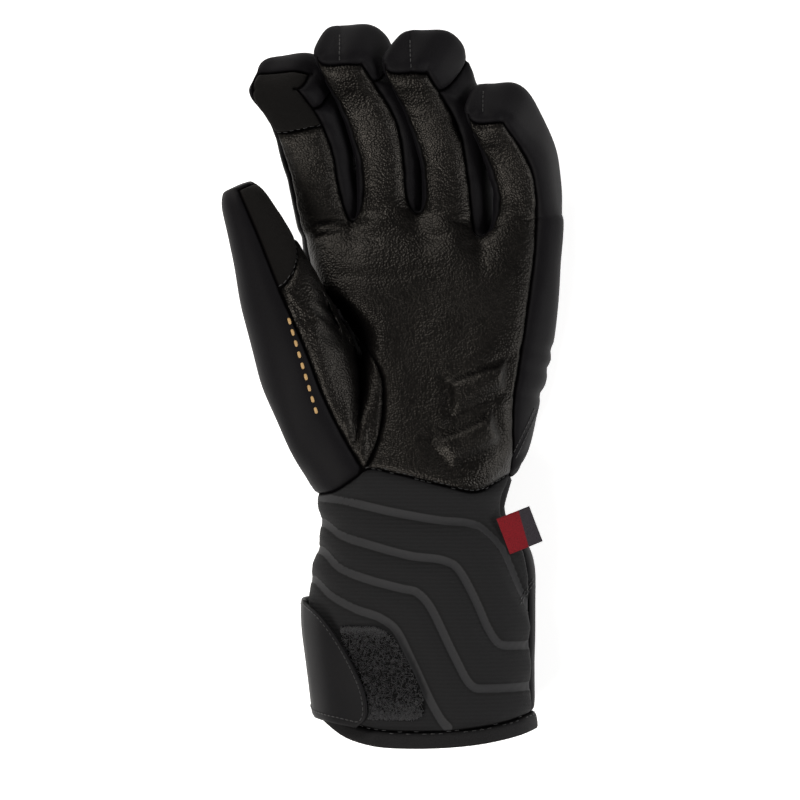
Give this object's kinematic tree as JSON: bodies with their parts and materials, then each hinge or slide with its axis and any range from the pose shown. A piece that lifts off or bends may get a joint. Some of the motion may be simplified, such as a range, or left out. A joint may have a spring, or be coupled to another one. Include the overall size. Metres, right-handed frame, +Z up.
{
  "type": "heated glove",
  "caption": "Left-hand winter glove filled as if worn, lying on its back: leather palm, softshell back, strapped knit cuff, open hollow.",
  "frame": {"origin": "centre of the bounding box across and along, on the surface that the glove lies on", "axes": "+X across the palm toward the little finger, +Y toward the fingertips, +Z up out of the palm"},
  "size_m": [0.1462, 0.3058, 0.064],
  "materials": {
    "leather": "semi-matte, pebbled grain",
    "softshell": "matte",
    "suede": "matte, fine nap",
    "knit": "matte, ribbed",
    "hem": "matte",
    "strap": "coated, semi-matte",
    "loop": "fuzzy loop pile",
    "label": "woven, plain red and dark grey"
  },
  "bodies": {
    "root": {"palm_leather": "leather", "hand_back": "softshell", "fourchette_index_middle": "softshell", "fourchette_middle_ring": "softshell", "fourchette_ring_little": "softshell", "index_tip_patch": "suede", "thumb_leather": "leather", "thumb_back": "softshell", "thumb_tip_patch": "suede", "cuff_front": "knit", "cuff_back": "softshell", "cuff_hem": "hem", "closure_strap": "strap", "loop_pad": "loop", "side_label": "label", "heel_pad_upper": "leather", "heel_pad_lower": "leather"}
  },
  "joints": []
}
